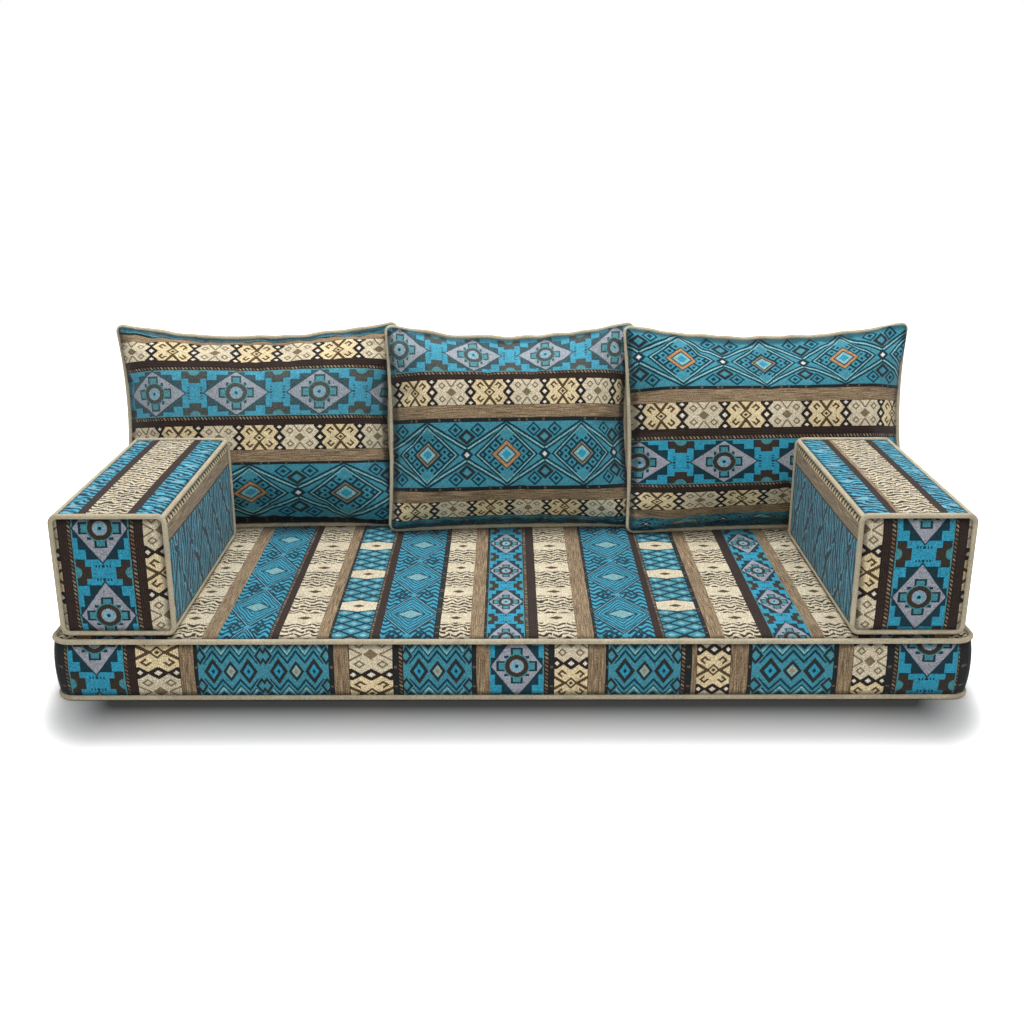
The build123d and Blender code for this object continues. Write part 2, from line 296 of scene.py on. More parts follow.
def surface(loom, finish, colour, roughness, height, strength, depth, more=()):
    """Ties a surface with a fine relief to the output. Strength and depth are the relief's."""
    sockets = {"Strength": strength, "Distance": depth, "Height": height}
    bump = loom.node("Bump", sockets=sockets)
    sockets = {"Base Color": colour, "Roughness": roughness, "Normal": bump, **dict(more)}
    tie(loom.node("BsdfPrincipled", sockets=sockets), finish, "Surface")


def cloth(name, pattern):
    """A woven material. pattern takes the loom, the place across the band, from 0 to 1, and along
    it, in metres, and gives the colour. The loom holds the thread map as its weave."""
    material, loom, finish = new_material(name)
    band, solid, loom.weave = loom.uv("band"), loom.place(), loom.uv("thread")
    drift = loom.lumps(solid, 70, 2).out("Color").split()
    across = band.out("X") + (drift.out("X") - 0.5) * wobble_across
    along = band.out("Y") + (drift.out("Y") - 0.5) * wobble_along
    colour = pattern(loom, across, along.snap(yarn))
    fleck, fade, grain = [loom.lumps(solid, *size) for size in ((420, 2), (9, 3), (1100, 1))]
    # Painted shade: the colour darkens towards the seams, beside the cord.
    hem = loom.uv("seam").out("X") + (drift.out("Z") - 0.5) * seam_wobble
    painted_seam_shade = hem.ramp(seam_dark, seam_light, seam_shade, 1.0)
    weft, warp = loom.weave.out("Y").wave(weft_step), loom.weave.out("X").wave(warp_step)
    light = (fleck - 0.5) * 2.4 + (grain - 0.5) * 2.0 + (fade - 0.5) * 0.5 + weft * 0.07 + 1.06
    shade = colour.lit(light * painted_seam_shade)
    height = weft * warp * 0.5 + fleck
    nap = {"Sheen Weight": 0.12, "Sheen Roughness": 0.5, "Specular IOR Level": 0.15}
    surface(loom, finish, shade, 0.9, height, strength=0.35, depth=0.5 * mm, more=nap)
    return material


# %% The eye band
def eye_band(loom, across, along):
    """A diamond with a round eye, then steps of blue that meet between two diamonds. One unit is
    one step of the weave's drawing."""
    side, half = 10, 16.5
    q = abs(across * (2 * side) - side)
    p = (along / (187 * mm / (2 * half))).fold(half)
    s = half - p
    r = loom.maths("SQRT", q * q + p * p)
    steps = (s.within(5, 8.8) & (q > 5.6)) | (s.within(8.7, 13) & (q > 8))
    block = ((s < 4.9) & (s > 2.4) & (q < 6.2)) | ((s < 2.5) & (q < 4.3))
    disc = (q - 9.8) * (q - 9.8) + s * s
    rhomb = q / 9.4 + p / 12.6
    rim = ((q < 2.2) & (p < 7.2)) | ((p < 2.1) & (q < 7.5))
    cross = ((q < 1.4) & (p < 6.5)) | ((p < 1.4) & (q < 6.6))
    return loom.dye(NAVY).over(
        BLUE, steps,
        OLIVE, (s < 4.3) & (q > 4.2),
        BLUE, block,
        NAVY, s.within(2.1, 3.1) & (q < 2.8) & ((q / 1.1).share() < 0.45),
        TEAL, (disc < 5) | (q > 9.5),
        NAVY, rhomb < 1.07,
        LILAC, rhomb < 1,
        NAVY, rim,
        TEAL, cross,
        NAVY, (abs(q - 3.8) < 0.8) & (abs(p - 3.6) < 0.5),
        TEAL, r < 4.8,
        OLIVE, r < 4.3,
        LILAC, r < 2.6,
        SKY, r < 2.1,
        NAVY, r < 0.7,
    )


def faded_eye_band(loom, across, along):
    """The eye band as it is on the pillows that have faded."""
    return eye_band(loom, across, along).over(dyed(150, 184, 184), 0.13)


# %% The cream band
def cream_band(loom, across, along):
    """Hooked medallions, a yellow one and then a pale one, with dark crossings between them."""
    pitch = 90 * mm
    q = abs(across * 2 - 1)
    p = (along / (pitch / 2)).fold(1)
    s = 1 - p
    pale = (along / pitch + 0.5).whole().fold(1)
    yellow = 1 - pale
    lobe = abs(p - 0.48) / 0.3 + abs(q - 0.52) / 0.42
    hook = lobe.within(0.28, 0.72) & ((p > 0.46) | (q > 0.5))
    centre = p / 0.31 + q / 0.4
    crossing = (abs(s * 1.7 - abs(q - 0.45)) < 0.1) & (s < 0.3)
    gap = ((s / 0.31 + q / 0.5) < 1) | ((s / 0.31 + (1 - q) / 0.62) < 1) | crossing
    return loom.dye(CREAM).over(
        PALE, pale,
        UMBER, hook & yellow,
        GREY, lobe.within(0.36, 0.68) & pale,
        UMBER, (abs(q - p * 2 - 0.36) < 0.17) & (q > 0.3) & yellow,
        GREY, (abs(q - p * 2 - 0.4) < 0.09) & (q > 0.4) & pale,
        UMBER, (centre.within(0.62, 1) | (centre < 0.34)) & yellow,
        GREY, (centre < 0.86) & pale,
        BROWN, gap | (q > 0.97),
        BONE, (s / 0.13 + q / 0.2) < 1,
        BONE, (s / 0.12 + abs(q - 0.82) / 0.14) < 1,
    )


# %% Uneven strokes, and the bands drawn with them
def uneven(loom, wide, high, detail):
    """Noise on the cloth, with its lumps to the metre given for both ways."""
    sockets = {0: loom.weave.out("X") * wide, 1: loom.weave.out("Y") * high, 2: 0.0}
    return loom.lumps(loom.node("CombineXYZ", sockets=sockets), 1, detail)


def wander(loom, size):
    """Slow noise about size across, from -0.5 to 0.5, that makes drawn strokes uneven."""
    return uneven(loom, 1 / size, 1 / size, 2) - 0.5


def wavy_rows(loom, across, along):
    """Rows of wavy, broken strokes across the band."""
    drift = wander(loom, 26 * mm)
    row = along / (16 * mm) + drift * 1.9 + (across * 15).sine() * 0.26
    broken = (across * 2.3 + row.whole() * 0.37).share() < 0.94
    return (row.share() < drift * 0.5 + 0.44) & broken


def weft_band(loom, across, along):
    """The cream band seen along the weft: wavy dark rows, then a pale field with a dark lens."""
    p = (along / (74 * mm)).fold(1)
    rows = wavy_rows(loom, across, along) & (p > 0.34)
    lens = abs(across * 2 - 1) / 0.42 + p / 0.12
    return loom.dye(PALE).over(dyed(60, 48, 38), rows, UMBER, lens < 1)


def net_band(loom, across, along):
    """Wavy dark rows on cream, all along."""
    return loom.dye(PALE).over(dyed(52, 42, 34), wavy_rows(loom, across, along))


# %% The blue band
def blue_band(loom, across, along):
    """Nested diamonds with a ring of hooked squares, and small diamonds where two of them meet."""
    pitch = 198 * mm
    q = abs(across * 2 - 1)
    p = (along / (pitch / 2)).fold(1)
    s = 1 - p
    odd = (along / pitch + 0.5).whole().fold(1)
    hook = abs(s - 0.28) / 0.2 + abs(q - 0.76) / 0.23
    outer = q + p * 0.77
    inner = q * 1.04 + p * 1.2
    turn = ((p * 1.2 - q * 1.04) * 2.6 + 0.5).share()
    small = s / 0.23 + abs(q - 0.54) / 0.25
    star = p / 0.38 + q / 0.44
    knot = s / 0.17 + q / 0.21
    return loom.dye(AZURE).over(
        DEEP, hook.within(0.68, 1) | (hook < 0.34),
        DEEP, outer.within(0.84, 1.05),
        MIST, outer.within(0.91, 0.97),
        AZURE, inner < 1.02,
        DEEP, inner < 0.99,
        MIST, inner < 0.91,
        DEEP, inner < 0.86,
        AZURE, inner.within(0.48, 0.77) & (turn > 0.26),
        DEEP, inner.within(0.56, 0.68) & turn.within(0.45, 0.78),
        AZURE, (p / 0.19 + abs(q - 0.62) / 0.2) < 1,
        SLATE, small < 1,
        AZURE, small < 0.5,
        DEEP, star < 1.06,
        loom.dye(DEEP).over(RUST, odd), star < 0.96,
        loom.dye(TAN).over(RUST, odd), star < 0.84,
        DEEP, star < 0.7,
        MIST, star < 0.58,
        BLUE, star < 0.34,
        DEEP, knot < 1,
        BONE, knot < 0.4,
    )


def lens_band(loom, across, along):
    """The blue band seen along the weft: nested diamonds of wavy strokes with a pale lens."""
    bright = dyed(62, 154, 180)
    q = abs(across * 2 - 1)
    p = (along / (108 * mm)).fold(1)
    s = 1 - p
    d = p + q * 0.86
    wave = (across * 26).sine() * 0.04
    stroke = ((along / (21 * mm)) + wave * 8).share()
    ring = ((d + wave * 0.5) * 7.3).share()
    lens = q / 0.5 + p / 0.22
    small = s / 0.26 + abs(q - 0.52) / 0.3
    return loom.dye(bright).over(
        DEEP, (stroke < 0.46) & (q > 0.12) & (d > 1.02),
        DEEP, d < 1.04,
        SKY, d < 0.96,
        DEEP, d < 0.92,
        bright, (d < 0.86) & (ring < 0.62),
        DEEP, lens < 1.2,
        dyed(122, 168, 174), lens < 0.96,
        DEEP, small.within(0.6, 1) | (small < 0.3),
        bright, (s / 0.1 + q / 0.16) < 1,
    )


def wave_band(loom, across, along):
    """Bright blue with bold slanted wavy strokes."""
    drift = wander(loom, 30 * mm)
    row = (along / (18 * mm) + across * 1.5 + drift * 2.4).share()
    lens = abs(across - 0.5) / 0.3 + (along / (61 * mm)).fold(1) / 0.16
    return loom.dye(dyed(58, 150, 178)).over(
        dyed(120, 190, 206), row.within(0.62, 0.76),
        dyed(14, 48, 62), row < drift * 0.6 + 0.44,
        SKY, lens < 1,
    )


def chevron_band(loom, across, along):
    """A row of small diamonds about a knot, with zigzags over and under it."""
    q = abs(across * 2 - 1)
    s = 1 - (along / (99 * mm)).fold(1)
    side = abs(q - 0.54)
    zigzag = s - abs(side - 0.27) * 0.9
    small = s / 0.3 + side / 0.28
    hook = abs(s - 0.34) / 0.2 + abs(q - 0.92) / 0.2
    knot = s / 0.24 + q / 0.24
    return loom.dye(AZURE).over(
        DEEP, (zigzag > 0.16) & ((zigzag * 6.4).share() < 0.5),
        MIST, zigzag.within(0.36, 0.42),
        AZURE, small < 1.3,
        SLATE, small < 1,
        BLUE, small < 0.56,
        DEEP, small < 0.2,
        AZURE, hook < 1.2,
        SLATE, hook.within(0.55, 1),
        SLATE, knot < 1,
        MIST, knot < 0.6,
        RUST, knot < 0.3,
    )


# %% The mixed band, the lines and the ribbed bands
def mixed_band(loom, across, along):
    """Blue lattice with a cream field and a dark lens at every step."""
    q = abs(across * 2 - 1)
    p = (along / (95 * mm)).fold(1)
    net = abs((along / (19 * mm)).fold(1) - (q * 1.5).fold(1))
    field = q * 0.35 + p * 3.1
    lens = q / 0.36 + p / 0.09
    return loom.dye(AZURE).over(
        MIST, net > 0.7,
        DEEP, net < 0.22,
        DEEP, field < 1.12,
        PALE, field < 1,
        UMBER, lens < 1,
    )


def tan_band(loom, across, along):
    """Fine streaks of several browns that run along the band."""
    streak = uneven(loom, 700, 18, 1)
    dark, light = dyed(112, 92, 70), dyed(170, 148, 118)
    return loom.dye(TAN).over(dark, streak > 0.55, light, streak < 0.43)


def brown_band(loom, across, along):
    """Dark brown with fine ribs along the band."""
    rib = loom.weave.out("X").wave(4 * mm)
    return loom.dye(BROWN).over(dyed(62, 46, 40), rib > 0.5)


# %% Lines of stitches
def drawn(loom, count):
    """A number from 0 to 1, drawn anew for each whole number."""
    return loom.node("TexWhiteNoise", {"noise_dimensions": "1D"}, {"W": count})


def dark_band(loom, across, along):
    """Nearly black, with a light or a rust stitch here and there."""
    pick = drawn(loom, (along / (5 * mm)).whole())
    stitch = (pick > 0.84) & (abs(across - 0.5) < 0.3)
    return loom.dye(dyed(30, 36, 38)).over(dyed(104, 84, 70), stitch)


def dots_band(loom, across, along):
    """Slanted stitches of beige and rust on brown."""
    slant = along / (9 * mm) + across * 0.8
    pick = drawn(loom, slant.whole())
    rust, grey = dyed(122, 94, 72), dyed(104, 96, 84)
    colour = loom.dye(dyed(150, 136, 112)).over(rust, pick > 0.45, grey, pick > 0.72)
    stitch = (slant.share() < 0.46) & (abs(across - 0.5) < 0.3)
    return loom.dye(BROWN).over(colour, stitch)


# %% The arms' strokes, and the plain underside
def streak_band(loom, across, along):
    """Blue cloth whose drawing runs into long fine strokes across the band."""
    drift = uneven(loom, 11, 34, 3)
    mark = (along * (2 * pi / (15 * mm)) + drift * 15).sine()
    bend = drift * 0.6
    lattice = abs((along / (52 * mm) + bend).fold(1) - (across * 2.2 + bend).fold(1))
    return loom.dye(dyed(54, 138, 164)).over(
        DEEP, mark > 0.02,
        dyed(104, 170, 186), mark < -0.88,
        DEEP, lattice < 0.12,
        dyed(96, 164, 182), lattice.within(0.15, 0.21),
        dyed(24, 40, 46), drift > 0.7,
    )


def slash_band(loom, across, along):
    """Cream with slanted dark strokes."""
    slant = along / (18 * mm) + across * 0.9 + wander(loom, 40 * mm)
    stroke = slant.share().within(0.1, 0.56) & (abs(across - 0.5) < 0.44)
    return loom.dye(CREAM).over(BROWN, stroke)


def base_band(loom, across, along):
    """The plain cloth of the underside."""
    return loom.dye(dyed(128, 116, 98))


patterns = (
    eye_band, faded_eye_band, cream_band, weft_band, net_band, lens_band, wave_band, chevron_band,
    blue_band, mixed_band, tan_band, brown_band, dark_band, dots_band, streak_band, slash_band,
    base_band,
)
cloths = {}
for pattern in patterns:
    kind = pattern.__name__.removesuffix("_band")
    cloths[kind] = cloth(kind + "_cloth", pattern)
print(len(cloths), "cloths")

# %% [markdown]
# ## Stuffed forms
# A cushion's cover starts as a cube. A bevelled box would be quicker, but its faces could not take
# a band each. So subdivide_edges cuts the cube along all three directions, and the cuts are moved
# to the places listed, which makes every band's edge an edge of the mesh. The faces get their
# material and maps while the form is still flat, and then each point is moved to where the
# stuffing pushes it.


# %% Where the bands go
def listed(text):
    """Reads bands from a list with commas. Each gives its kind, its width in mm, and when they
    matter its shift along in mm, its stretch, and the share of the pattern that shows."""
    rows = [band.split() for band in text.split(",")]
    return [(kind, *map(float, numbers)) for kind, *numbers in rows]


def laid(half, bands):
    """Bands laid side by side from -half to half."""
    scale = 2 * half / sum(band[1] for band in bands)
    plain = (0, 1, 0, 1)
    placed, start = [], -half
    for kind, width, *given in bands:
        end = start + width * scale
        placed.append((start, end, kind, (*given, *plain[len(given) :])))
        start = end
    return placed


# %% Where the mesh's lines go
tucks = [depth * mm for depth in (3.5, 8, 14, 22, 34, 50)]
nearest_line = 1.6 * mm


def span(middle, half):
    return middle - half, middle + half


def filled(kept, cell):
    """The places kept, in order, and enough between them."""
    kept, places = sorted(kept), []
    for start, end in zip(kept, kept[1:]):
        count = max(1, round((end - start) / cell))
        places += [start + (end - start) * step / count for step in range(count)]
    return places + kept[-1:]


def cuts(half, cell, *rows, firm=()):
    """Places of the mesh's lines from -half to half: the firm ones, the edges of the bands and
    some near the two seams, where the stuffing curves most, if they are not too near another."""
    kept = [-half, half, *firm]
    lines = [band[0] for bands in rows for band in bands]
    for line in sorted(lines + [sign * (half - tuck) for tuck in tucks for sign in (-1, 1)]):
        if all(abs(line - other) > nearest_line for other in kept):
            kept.append(line)
    return filled(kept, cell)


# %% A cube cut along three directions
def cut_block(*places):
    """A closed block with its lines at the places given for x, y and z."""
    bm = bmesh.new()
    bmesh.ops.create_cube(bm, size=2)
    for axis, line in enumerate(places):
        if len(line) > 2:
            ends = [[vert.co[axis] for vert in edge.verts] for edge in bm.edges]
            run = [edge for edge, (a, b) in zip(bm.edges, ends) if abs(a - b) > 1]
            bmesh.ops.subdivide_edges(bm, edges=run, cuts=len(line) - 2, use_grid_fill=True)
    for vert in bm.verts:
        for axis, line in enumerate(places):
            step = (vert.co[axis] + 1) / 2 * (len(line) - 1)
            vert.co[axis] = line[round(step)]
    return bm


def dress(bm, sides):
    """Gives each face the cloth and maps of its band. sides maps an axis and a sign to the axis
    that the bands lie across, the axis that they run along, and the bands."""
    kinds = sorted({band[2] for _, _, bands in sides.values() for band in bands})
    names = ("band", "thread", "seam")
    band_map, thread_map, seam_map = [bm.loops.layers.uv.new(name) for name in names]
    low, high = [[end(vert.co[a] for vert in bm.verts) for a in range(3)] for end in (min, max)]
    bm.normal_update()
    for face in bm.faces:
        middle = face.calc_center_median()
        facing = max(range(3), key=lambda a: abs(face.normal[a]))
        across, along, bands = sides[facing, 1 if face.normal[facing] > 0 else -1]
        for start, end, kind, (shift, stretch, first, last) in bands:
            if middle[across] < end:
                break
        face.material_index = kinds.index(kind)
        face.smooth = True
        for loop in face.loops:
            co = loop.vert.co
            share = first + (last - first) * (co[across] - start) / (end - start)
            loop[band_map].uv = (share, (co[along] - shift * mm) / stretch)
            loop[thread_map].uv = (co[across], co[along])
            depth = min(min(co[a] - low[a], high[a] - co[a]) for a in range(3) if a != facing)
            loop[seam_map].uv = (depth, 0)
    return kinds


def both_ways(plans):
    """Gives the two sides that face along an axis the same bands."""
    return {(axis, sign): plan for axis, plan in plans.items() for sign in (-1, 1)}


def mark_slot(bm, *spans):
    """Tags the faces whose middles lie within the spans of x, y and z. The zip lies there."""
    for face in bm.faces:
        middle = face.calc_center_median()
        face.tag = all(low < v < high for v, (low, high) in zip(middle, spans))


# %% A cover's object, and how stuffing curves it
def finish_cover(bm, name, kinds, body, nodes, smooth=0):
    """Makes the cover an object that rides on its body and stands for the CAD nodes."""
    slot = [face for face in bm.faces if face.tag]
    bmesh.ops.delete(bm, geom=slot, context="FACES")
    mesh = bpy.data.meshes.new(name)
    bm.to_mesh(mesh)
    bm.free()
    cover = linked(name, mesh)
    for kind in kinds:
        mesh.materials.append(cloths[kind])
    if smooth:
        layer = cover.modifiers.new("smooth", "SUBSURF")
        layer.levels = layer.render_levels = smooth
        layer.uv_smooth = "NONE"
    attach(cover, body)
    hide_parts(*nodes)
    print(name, len(mesh.polygons), "faces,", len(kinds), "cloths")


def rounded(x, y, half_x, half_y, corner):
    """Moves a point of a square-cornered plan on to the same plan with round corners."""
    a, b = (abs(x) - half_x) / corner + 1, (abs(y) - half_y) / corner + 1
    if a <= 0 or b <= 0:
        return x, y
    u, v = a * sqrt(1 - b * b / 2), b * sqrt(1 - a * a / 2)
    return copysign(half_x + corner * (u - 1), x), copysign(half_y + corner * (v - 1), y)


def rise(depth, height, reach, power=1.3):
    """How far a stuffed face stands up, depth in from its seam."""
    return height * (1 - exp(-((max(depth, 0) / reach) ** power)))


def soft_noise(place, size, seed=0.0):
    """Smooth noise from -1 to 1 whose lumps are about size across."""
    return noise.noise(Vector(place) / size + Vector((seed, seed * 1.7, seed * 0.3)))


def pucker(depth, place, height, size, start, reach, seed=0.0):
    """How far puckers lift the cloth: not at all at the seam, most at start, less over reach."""
    return height * exp(-depth / reach) * min(depth / start, 1) * soft_noise(place, size, seed)


# %% [markdown]
# ## Seat mattress
# The seat is firm foam in a cover of three panels: a top, a border and a plain underside. The
# top stands a few millimetres over its cord, and the border bows out between the two cords. Its
# bands run from front to back over the top, and down the border. The panels could be cut and sewn
# one by one, but one closed block looks the same and leaves no gap under the cords.

# %% The seat's bands
seat_half = (950 * mm, 400 * mm)
seat_corner, seat_bulge = 40 * mm, 7 * mm
seams = (5.5 * mm, 131.5 * mm)
seat_top_bands = listed(
    "weft 53, tan 30, dots 10, eye 115 -30, dots 10, brown 22, weft 70, tan 32, lens 104 -20, "
    "dots 9, brown 13, weft 78, tan 24, dark 6, mixed 77 -40, dots 8, brown 14, lens 110 -60, "
    "dark 12, weft 63, tan 29, dark 6, eye 79 -20, dots 10, brown 18, weft 79, tan 35, dark 7, "
    "lens 119 -60, brown 13, dots 8, mixed 82 -40, dark 10, tan 30, weft 75, brown 24, "
    "eye 80 -20, tan 26, weft 70, brown 22, dots 10, eye 115 -30, dots 10, tan 30, weft 53"
)
seat_front_bands = listed(
    "dark 24, dots 10, eye 117 133, dots 9, brown 15, cream 92 110, tan 29, dark 8, "
    "chevron 136 -31, chevron 136 -31, dark 10, tan 31, cream 92 15, dark 10, dots 11, "
    "chevron 142 -31, dark 10, tan 27, eye 113 79, dots 11, dark 10, cream 71 40, tan 36, "
    "dark 6, chevron 150 -31, dots 11, dark 12, tan 10, cream 71 70, tan 36, dark 8, "
    "chevron 169 -31, dark 10, tan 30, cream 71 -1, dark 13, dots 11, eye 125 127, dots 5, "
    "dark 29"
)
seat_side_bands = listed(
    "dark 30, dots 10, blue 150 60, dark 10, tan 36, cream 90 60, brown 18, eye 117 70, "
    "brown 18, cream 90 60, tan 36, dark 10, blue 150 60, dots 10, dark 30"
)
print(len(seat_top_bands), "bands on the seat's top")

# %% How the seat is stuffed
hair = 1e-6
seat_crown, seat_crown_reach = 8 * mm, 12 * mm
border_lump, border_lump_size = 0.5 * mm, 45 * mm
sag, sag_size, sag_start = 0.8 * mm, 90 * mm, 50 * mm
seat_pucker = (0.7 * mm, 26 * mm, 6 * mm, 20 * mm, 3)  # height, size, start, reach and seed
foot_round = 5 * mm


def seat_place(x, y, z):
    """Where the stuffing holds a point of the flat seat block."""
    px, py = rounded(x, y, *seat_half, seat_corner)
    depth = min(seat_half[0] - abs(x), seat_half[1] - abs(y))
    middle = sum(seams) / 2
    if depth < hair and seams[0] + hair < z < seams[1] - hair:
        share = (z - middle) / (seams[1] - middle)
        lump = border_lump * soft_noise((px, py, z * 0.4), border_lump_size)
        swell = (seat_bulge + lump) * (1 - share**2)
        past = [abs(px) - seat_half[0] + seat_corner, abs(py) - seat_half[1] + seat_corner]
        out = Vector((copysign(max(past[0], 0), px), copysign(max(past[1], 0), py)))
        if min(past) < 0:
            at_end = abs(x) > seat_half[0] - hair
            out = Vector((copysign(1, px), 0)) if at_end else Vector((0, copysign(1, py)))
        out.normalize()
        return Vector((px + out.x * swell, py + out.y * swell, z))
    if z > middle:
        level = seams[1] + rise(depth, seat_crown, seat_crown_reach)
        level -= sag * (soft_noise((px, py, 0), sag_size) + 1) / 2 * min(depth / sag_start, 1)
        return Vector((px, py, level + pucker(depth, (px, py, 0), *seat_pucker)))
    return Vector((px, py, seams[0] * max(1 - depth / foot_round, 0)))


# %% The seat's cover
tops = laid(seat_half[0], seat_top_bands)
fronts = laid(seat_half[0], seat_front_bands)
flanks = laid(seat_half[1], seat_side_bands)
slot_half = 4.8 * mm
slot_x, slot_z = span(0, 747 * mm), span(sum(seams) / 2, slot_half)
bm = cut_block(
    cuts(seat_half[0], 11 * mm, tops, fronts, firm=slot_x),
    cuts(seat_half[1], 11 * mm, flanks),
    filled([*seams, *slot_z], 9 * mm),
)
mark_slot(bm, slot_x, (seat_half[1] - 1 * mm, 1), slot_z)
seat_sides = both_ways({0: (1, 2, flanks), 1: (0, 2, fronts), 2: (0, 1, tops)})
seat_sides[2, -1] = (0, 1, laid(seat_half[0], [("base", 1)]))
kinds = dress(bm, seat_sides)
for vert in bm.verts:
    vert.co = seat_place(*vert.co)
seat_nodes = ["seat_top_panel", "seat_border_panel", "seat_bottom_panel", "seat_foam_core"]
finish_cover(bm, "seat_cover", kinds, "seat", seat_nodes)

# %% [markdown]
# ## Arm cushions
# An arm is a long foam block with a cord round each end and one along each long edge. Its bands
# run along the top and the sides, and up the ends. It is cut from a cube as the seat is, and one
# function makes both, with the bands listed for each, because the cloth was not cut to match.

# %% The arms' bands
arm_sides = {"left": -1, "right": 1}
arm_half = (113.5 * mm, 290 * mm, 126 * mm)
arm_middle = (808.5 * mm, -98 * mm, 272.8 * mm)
arm_corner = 15 * mm
arm_slot = (222 * mm, -78 * mm)
arm_end_bands = {
    "left": listed(
        "cream 14 -1 1.02 0.81 1, brown 18, dots 9, eye 115 -84, dots 12, brown 15, "
        "cream 43 7 1.02 0 0.57"
    ),
    "right": listed(
        "cream 43 7 1.02 0.43 1, brown 15, dots 12, eye 115 -46, dots 9, brown 18, "
        "cream 14 -1 1.02 0 0.19"
    ),
}
arm_top_bands = {
    "left": listed("wave 48 20, brown 18, net 82 10, brown 18, wave 58 60"),
    "right": listed("wave 58 60, brown 14, tan 8, net 78 10, brown 18, wave 48 20"),
}
arm_side_bands = listed("streak 190, dark 4, tan 33, slash 22")
print(len(arm_end_bands["left"]), "bands up the left arm's end")

# %% How an arm is stuffed
end_crown, end_crown_reach = 8.5 * mm, 19 * mm
end_lump, end_lump_size, end_lump_start = 0.8 * mm, 40 * mm, 20 * mm
bow_at_ends, bow_more_between = 1.5, 2.5
side_lump, side_lump_size = 0.6 * mm, 60 * mm


def arm_place(x, y, z):
    """Where the stuffing holds a point of the flat arm block."""
    px, pz = rounded(x, z, arm_half[0], arm_half[2], arm_corner)
    end = abs(y) / arm_half[1]
    if end > 1 - hair:
        depth = min(arm_half[0] - abs(x), arm_half[2] - abs(z))
        lump = end_lump * soft_noise((x, y, z), end_lump_size, 2)
        out = rise(depth, end_crown, end_crown_reach) + lump * min(depth / end_lump_start, 1)
        return Vector((px, copysign(arm_half[1] + out, y), pz))
    bow = (bow_at_ends + bow_more_between * (1 - end**2)) * mm
    bow += side_lump * soft_noise((x, y, z), side_lump_size, 5)
    sx, sz = x / arm_half[0], z / arm_half[2]
    if abs(sx) > 1 - hair:
        px += copysign(bow * (1 - sz**2), x)
    if abs(sz) > 1 - hair:
        pz += copysign(bow * (1 - sx**2), z)
    return Vector((px, y, pz))


# %% The arms' covers
def arm_centre(sign):
    return Vector((sign * arm_middle[0], *arm_middle[1:]))


def make_arm(side, sign):
    ends = laid(arm_half[0], arm_end_bands[side])
    tops = laid(arm_half[0], arm_top_bands[side])
    flanks = laid(arm_half[2], arm_side_bands)
    slot_y, slot_z = span(0, arm_slot[0]), span(arm_slot[1], slot_half)
    bm = cut_block(
        cuts(arm_half[0], 8 * mm, ends, tops),
        cuts(arm_half[1], 10 * mm, firm=slot_y),
        cuts(arm_half[2], 9 * mm, flanks, firm=slot_z),
    )
    mark_slot(bm, sorted((sign * (arm_half[0] - 1 * mm), sign * 1.0)), slot_y, slot_z)
    kinds = dress(bm, both_ways({0: (2, 1, flanks), 1: (0, 2, ends), 2: (0, 1, tops)}))
    for vert in bm.verts:
        vert.co = arm_place(*vert.co) + arm_centre(sign)
    panels = ("front", "back", "top", "bottom", "inner", "outer")
    nodes = [f"arm_{side}_{panel}_panel" for panel in panels] + [f"arm_{side}_foam_core"]
    finish_cover(bm, f"arm_{side}_cover", kinds, f"arm_{side}", nodes)


for side, sign in arm_sides.items():
    make_arm(side, sign)

# %% [markdown]
# ## Back pillows
# A pillow is two panels sewn together all round and filled with fibre. The seam is drawn in
# between the four ears. Both panels start flat with the bands straight across, are brought in to
# the seam, and are given a rough crown. A smooth crown alone looks like a balloon, so the cloth
# simulation then blows the cover up as the fibre does, with the seam held. Last, puckers are
# pressed in along the seam, and the cloth round the zip is laid back on it.

# %% The pillows' bands, from the lower ears up
pillow_widths = {"left": 705 * mm, "middle": 630 * mm, "right": 727 * mm}
pillow_height = 518 * mm
pillow_half_thick = 80 * mm
pillow_draw_bottom, pillow_draw_top = 5 * mm, 34 * mm
pillow_draw_sides = {
    "left": (26 * mm, 24 * mm),
    "middle": (8 * mm, 24 * mm),
    "right": (8 * mm, 26 * mm),
}
pillow_ear = 17 * mm
pillow_reach = 195 * mm
pillow_ripple, pillow_ripple_size = 6 * mm, 60 * mm
pillow_lean, pillow_turn = -16, 3.5
rough_crown = 0.9
zip_slot = (212 * mm, -201.9 * mm)
zip_slope = 0.925
pillow_bands = {
    "left": listed(
        "dark 13, blue 149 224 1.227, dark 5, tan 30, cream 61 10 1.167, brown 13, dots 10, "
        "faded_eye 114 -47 1.144, dots 10, brown 15, cream 53 1 1.167, tan 22, dark 5, "
        "blue 18 224 1.227"
    ),
    "middle": listed(
        "blue 23 -21, cream 48 -61 1.05, tan 28, dark 10, blue 159 177, dark 10, tan 31, "
        "cream 63 -61 1.05, brown 12, dots 8, faded_eye 126 85 0.98"
    ),
    "right": listed(
        "blue 35 -25, tan 21, cream 45 -86 1.167, brown 12, dots 8, eye 107 -135 1.14, "
        "dots 12, brown 15, cream 65 -80 1.167, tan 31, dark 7, blue 160 -25 1.045"
    ),
}
pillow_fixed = {"left": 473, "middle": 392, "right": 359}
print(len(pillow_bands), "pillows")


